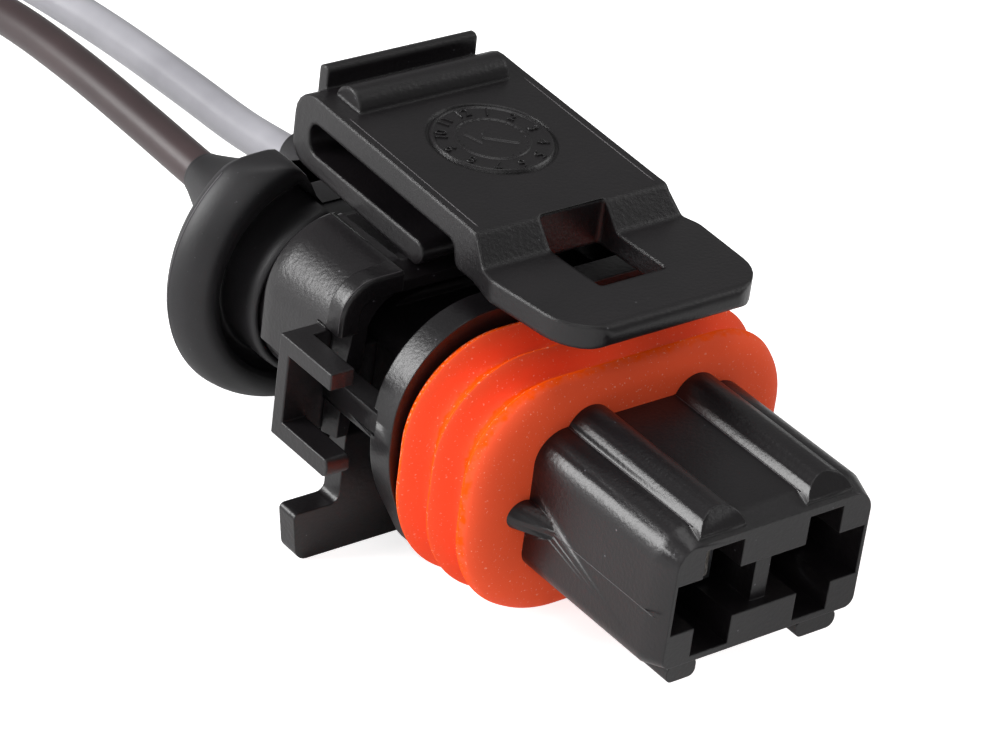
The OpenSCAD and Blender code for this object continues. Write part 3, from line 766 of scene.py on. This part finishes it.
def hood_skin(side):
    """Rows along the hood: the lip with a radius of 2.1, a step, and the barrel with one of 3.7
    to 4.1. Each row runs out along the outer section and back along the inner one, and the ends
    are drawn together in the middle of the wall."""
    along = np.array([23.0, 23.03, 23.1, 23.22, 23.5, 23.9, 24.15, 24.2, 24.26, 24.32, 24.5,
                      SLOT_END, SLOT_END + 0.04, 26, 27, 28, 29, 29.8, 29.93, 30.0])
    inset = np.interp(along, [23.0, 23.03, 23.1, 23.22, 29.8, 29.93, 30.0],
                      [0.2, 0.1, 0.03, 0, 0, 0.04, 0.14])
    radius = np.interp(along, [24.2, 24.32, 30], [LIP_R, 3.7, 4.1])
    bottom = np.interp(along, [SLOT_END, SLOT_END + 0.04], [HOOD_EDGE, WALL_END])
    rows = []
    for y, e, r, b in zip(along, inset, radius, bottom):
        outer = hood_section(HALF_WIDTH - e, TOP - e, r, b)
        inner = hood_section(INNER_HALF, INNER_TOP, max(r - WALL, 0.9), b)
        ring = np.concatenate([outer, inner[::-1]])
        rows.append(np.column_stack([side * ring[:, 0], np.full(len(ring), y), ring[:, 1]]))
    grid = np.array(rows)
    middle = (grid[[0, -1]] + grid[[0, -1]][:, ::-1]) / 2
    return np.concatenate([middle[:1], grid, middle[1:]])


def cheek(side):
    """A closed block beside the neck, behind the lock, which keeps light out of the hood: a
    rectangle at two stations, with both ends drawn in to a point."""
    ring = np.array([(7.6, -3.9), (10.6, -3.9), (10.6, 0.7), (7.6, 0.7)]) * [side, 1]
    middle = np.tile(ring.mean(axis=0), (4, 1))
    rows = ((middle, 25.3), (ring, 25.3), (ring, 27.3), (middle, 27.3))
    return np.array([at_station(shape, y) for shape, y in rows])


skin_grids = [(make(side), False, True) for make in (hood_skin, cheek) for side in (-1, 1)]
skin = surface("hood_skin", skin_grids, satin_pbt)
skin.data.set_sharp_from_angle(angle=math.radians(40))

# %% [markdown]
# ## Pieces that keep their CAD shape
# The tie round the coil and the two wire seals deep in the chambers are right as they come, so
# they only get a finish: the tie a plain black one, the wire seals the face seal's silicone.

# %% Finishes for CAD pieces
def finish(node, material):
    """Gives a CAD node its material in every slot."""
    slots = nodes[node].data.materials
    if not len(slots):
        slots.append(material)
    for k in range(len(slots)):
        slots[k] = material
    print(node, "is", material.name)


finish("coil_tie", lock_pbt)
for node in ("wire_seal_left", "wire_seal_right"):
    finish(node, orange_silicone)

# %% [markdown]
# ## Parting lines
# Where two halves of a mould meet, a hair of plastic is left. These lines catch the light along the
# lip of the hood, the edges of the latch and the sides of the nose, and round the boot's rim. Each
# is a tube a few hundredths of a millimetre thick, half sunk in the surface, and painted a little
# paler than it: a painted highlight for the light that the line catches.

# %% Parting lines on the housing and the latch
# painted highlight: the parting lines are coloured paler than the black body, for the light they
# catch
painted_highlight_pbt = pbt("pbt_painted_highlight_line", "#3A3739", "#4A4649", 0.42)
painted_highlight_epdm = rubber("epdm_painted_highlight_line", "#4A484B", "#605D60")


def fine_lines(name, lines, thick, material, body):
    """Closed tubes of radius thick along lines, in one piece. A line that stays at one station
    has no direction along Y, so it takes +Y as its pole."""
    grids = []
    for line in lines:
        line = even_steps(np.asarray(line, float), 0.25)
        across = (0.0, 1.0, 0.0) if np.ptp(line[:, 1]) < 0.5 else (0.0, 0.0, 1.0)
        grids.append((closed_tube(line, thick, 6, across), False, True))
    surface(name, grids, material, body)


LATCH_Z, LATCH_SLOPE = 11.68, 0.045  # latch's top at station 20, and its rise for each mm behind


def latch_top(y):
    """Height of the latch's top at a station."""
    return LATCH_Z + LATCH_SLOPE * (y - 20)


lip = hood_section(HALF_WIDTH - 0.01, TOP - 0.01, LIP_R, HOOD_EDGE + 0.1)
on_lip = [at_station(lip * [side, 1], 23.16) for side in (-1, 1)]
on_nose = [[(x, 0.6, -0.8), (x, 11.0, -0.8)] for x in (-6.89, 6.89)]
on_ribs = [[(x, 1.0, 3.88), (x, 11.2, 3.88)] for x in (-4.98, 2.1)]
on_latch_edges = [[(x, y, latch_top(y) - 0.01) for y in (19.3, 22, 26, 31)] for x in (-5.82, 5.82)]
fine_lines("housing_parting_lines", on_lip + on_nose + on_ribs, 0.035, painted_highlight_pbt, "connector")
fine_lines("latch_parting_lines", on_latch_edges, 0.04, painted_highlight_pbt, "latch")

# %% Flash on the rim of the boot
FLASH_Y, FLASH_OUT = 37.4, 8.83  # station and offset of the rim's widest line
FLASH_CLEAR = 0.5  # the line stops this far below the pressed top
rim_base, rim_out = lead_to_lead
crest = rim_base + FLASH_OUT * rim_out + [0, BELL_Z]
keep = crest[:, 1] < top_limit(crest[:, 0], FLASH_Y) - FLASH_CLEAR
# the line starts where the pressed top ends, so the ring's points are rolled to begin there
order = np.roll(np.arange(len(keep)), -int(np.argmax(~keep & np.roll(keep, -1)) + 1))
crest = crest[order][keep[order]]
fine_lines("boot_parting_line", [at_station(crest, FLASH_Y)], 0.045, painted_highlight_epdm, "connector")

# %% [markdown]
# ## Date dial
# Moulders mark the month with a small round insert in the tool: numbers in a ring and an arrow in
# the middle, a tenth of a millimetre proud. This one is a plain clock of numbers. The relief is a
# height over a disc, so it is one grid in radius and angle. The numbers are text, made a mesh and
# laid on the latch's slope.

# %% Relief of the dial
DIAL, SLOPE = np.array([0.2, 26.3, 11.965]), math.atan(LATCH_SLOPE)
DIAL_R, OUTER_RING, INNER_RING = 3.38, 3.26, 2.05
TICKS, POINTING = 24, 0.9  # number of ticks, and the arrow's angle in radians


def on_latch(u, v, h):
    """(u, v, h) on the dial to its place on the latch: v climbs the slope, h stands off it."""
    return np.stack([DIAL[0] + u, DIAL[1] + v * np.cos(SLOPE) - h * np.sin(SLOPE),
                     DIAL[2] + v * np.sin(SLOPE) + h * np.cos(SLOPE)], axis=-1)


def bump_in(value, low, high, soft=0.05):
    """1 between low and high and 0 outside, with soft edges."""
    return np.clip((value - low) / soft, 0, 1) * np.clip((high - value) / soft, 0, 1)


def dial_height(u, v):
    """0.02 plus 0.08 times the highest of two ridges, ticks inside the inner one and an arrow,
    which is a shaft and a head whose width shrinks towards its point."""
    r, a = np.hypot(u, v), np.arctan2(u, v)
    beside = np.abs(np.mod(a * TICKS / (2 * np.pi) + 0.5, 1) - 0.5) * 2 * np.pi / TICKS * r
    tick = bump_in(r, 1.82, 2.1) * bump_in(beside, -1, 0.05)
    c, s = np.cos(POINTING), np.sin(POINTING)
    p, q = np.abs(c * u + s * v), c * v - s * u
    shaft = bump_in(q, -1.5, 0.7) * bump_in(p, -1, 0.17)
    head = bump_in(q, 0.5, 2) * bump_in(p, -1, (1.65 - q) * 0.62)
    rings = np.exp(-((r - OUTER_RING) / 0.08) ** 2) + np.exp(-((r - INNER_RING) / 0.07) ** 2)
    edge = np.clip((DIAL_R - r) / 0.06, 0, 1)
    highest = np.maximum.reduce([tick, shaft, head, np.minimum(rings, 1)])
    return edge * (0.02 + 0.08 * highest)


radius, angle = np.meshgrid(np.linspace(0, DIAL_R, 110),
                            np.linspace(0, 2 * np.pi, 260, endpoint=False), indexing="ij")
u, v = radius * np.sin(angle), radius * np.cos(angle)
dial_grid = on_latch(u, v, dial_height(u, v))
dial = surface("date_dial", [(dial_grid, False, True)], satin_pbt, "latch")

# %% Numbers of the dial
NUMBER_R, NUMBER_SIZE, NUMBER_H = 2.72, 0.98, 0.1  # radius of the ring, height of type, relief


def number(text, turned):
    """Points and faces of a raised number, turned by an angle, with its foot to the middle."""
    curve = bpy.data.curves.new(f"number_{text}", "FONT")
    curve.body, curve.size, curve.extrude, curve.resolution_u = text, NUMBER_SIZE, NUMBER_H, 4
    curve.align_x, curve.align_y = "CENTER", "CENTER"
    carrier = bpy.data.objects.new(curve.name, curve)
    mesh = bpy.data.meshes.new_from_object(carrier)
    flat = point_values(mesh, "co")
    faces = [list(face.vertices) for face in mesh.polygons]
    bpy.data.objects.remove(carrier)
    bpy.data.curves.remove(curve)
    bpy.data.meshes.remove(mesh)
    c, s = np.cos(turned), np.sin(turned)
    p, q = flat[:, 0], flat[:, 1] + NUMBER_R
    return on_latch(c * p + s * q, c * q - s * p, flat[:, 2]), faces


points, faces = [], []
for month in range(1, 13):
    at, corners = number(str(month), np.radians(30 * month))
    faces += [[k + len(points) for k in face] for face in corners]
    points += to_frame(at).tolist()
mesh = bpy.data.meshes.new("dial_numbers")
mesh.from_pydata(points, [], faces)
finish_mesh(mesh)
mesh.set_sharp_from_angle(angle=math.radians(30))
mesh.materials.append(satin_pbt)
numbers = placed("dial_numbers", mesh, "latch")

# %% [markdown]
# ## Contacts, springs and conductors
# The contacts are stamped and rolled from tinned copper alloy, and each box is hugged by a
# stainless spring. The conductors are the leads' own strands, crimped into them. They sit deep in
# the chambers, where only a glint of them shows, so they keep their CAD shapes.

# %% Stamped contacts and rolled springs
tinned = bare_metal("copper_alloy_tinned_stamped", "#C9BFB2", 0.32)
spring_steel = bare_metal("steel_stainless_rolled", "#B9BCC0", 0.3)
for side in ("left", "right"):
    finish(f"contact_{side}", tinned)
    finish(f"contact_spring_{side}", spring_steel)
    finish(f"conductor_{side}", bare_copper)

# %% [markdown]
# ## Floor
# The floor is one plain sheet of white paper under the part, so that a shadow shows where the part
# stands. It belongs to the stage and not to the part.

# %% Floor
def backdrop(name):
    """Matt white paper. To the camera alone it glows too, so that it reads as white and still
    keeps the object's shadow."""
    material, tree, out = new_material(name)
    seen = add(tree, "ShaderNodeLightPath").outputs["Is Camera Ray"]
    lift = add(tree, "ShaderNodeMath", {"operation": "MULTIPLY"}, i0=seen, i1=0.75)
    matt = add(tree, "ShaderNodeBsdfDiffuse", Color=linear("#F2F2F2"))
    glow = add(tree, "ShaderNodeEmission", Color=linear("#FFFFFF"), Strength=lift.outputs["Value"])
    both = add(tree, "ShaderNodeAddShader", i0=matt.outputs["BSDF"], i1=glow.outputs["Emission"])
    tree.links.new(both.outputs["Shader"], out.inputs["Surface"])
    return material


floor_mesh = bpy.data.meshes.new("floor")
floor_corners = [(-3, -3, 0), (3, -3, 0), (3, 3, 0), (-3, 3, 0)]  # metres
floor_mesh.from_pydata(floor_corners, [], [(0, 1, 2, 3)])
floor_mesh.materials.append(backdrop("paper_matt_white"))
floor = bpy.data.objects.new("floor", floor_mesh)
bpy.context.scene.collection.objects.link(floor)
print("floor:", floor_mesh.materials[0].name)

# %% [markdown]
# ## Lamps and sky
# Black plastic shows its shape by reflections alone, so the key lamp stands where its reflection
# runs along the hood, the ribs and the bend: behind on the left. Three weaker lamps fill the top,
# the front and the right, and the sky gives an even grey to the object and white to the camera.

# %% Four softboxes
def softbox(name, direction, distance, size, power):
    """A square white area lamp that looks at the origin from a direction; metres and watts."""
    lamp = bpy.data.lights.new(name, "AREA")
    lamp.shape, lamp.size, lamp.energy, lamp.color = "SQUARE", size, power, (1.0, 1.0, 1.0)
    box = bpy.data.objects.new(name, lamp)
    bpy.context.scene.collection.objects.link(box)
    away = Vector(direction).normalized()
    facing_origin = away.to_track_quat("Z", "Y").to_matrix().to_4x4()
    box.matrix_world = Matrix.Translation(away * distance) @ facing_origin
    print(name, "gives", power, "W")


softbox("key_softbox", (-0.9, 0.56, 0.5), 0.5, 0.27, 3.0)
softbox("top_softbox", (0.1, 0.1, 1.0), 0.6, 0.35, 0.8)
softbox("front_softbox", (-0.6, -0.7, 0.7), 0.6, 0.4, 0.75)
softbox("right_softbox", (0.9, -0.2, 0.6), 0.6, 0.3, 0.6)

# %% Sky
SKY_ON_OBJECT, SKY_TO_CAMERA = 0.24, 1.0
sky = bpy.data.worlds.new("sky")
sky.use_nodes = True
bpy.context.scene.world = sky
sky_tree = sky.node_tree
sky_tree.nodes.clear()
path = add(sky_tree, "ShaderNodeLightPath")
seen = add(sky_tree, "ShaderNodeMapRange", Value=path.outputs["Is Camera Ray"],
           To_Min=SKY_ON_OBJECT, To_Max=SKY_TO_CAMERA)
glow = add(sky_tree, "ShaderNodeBackground", Color=linear("#FFFFFF"),
           Strength=seen.outputs["Result"])
add(sky_tree, "ShaderNodeOutputWorld", Surface=glow.outputs["Background"])
bpy.context.scene.view_settings.view_transform = "Standard"
print("sky:", SKY_ON_OBJECT, "on the object and", SKY_TO_CAMERA, "to the camera")
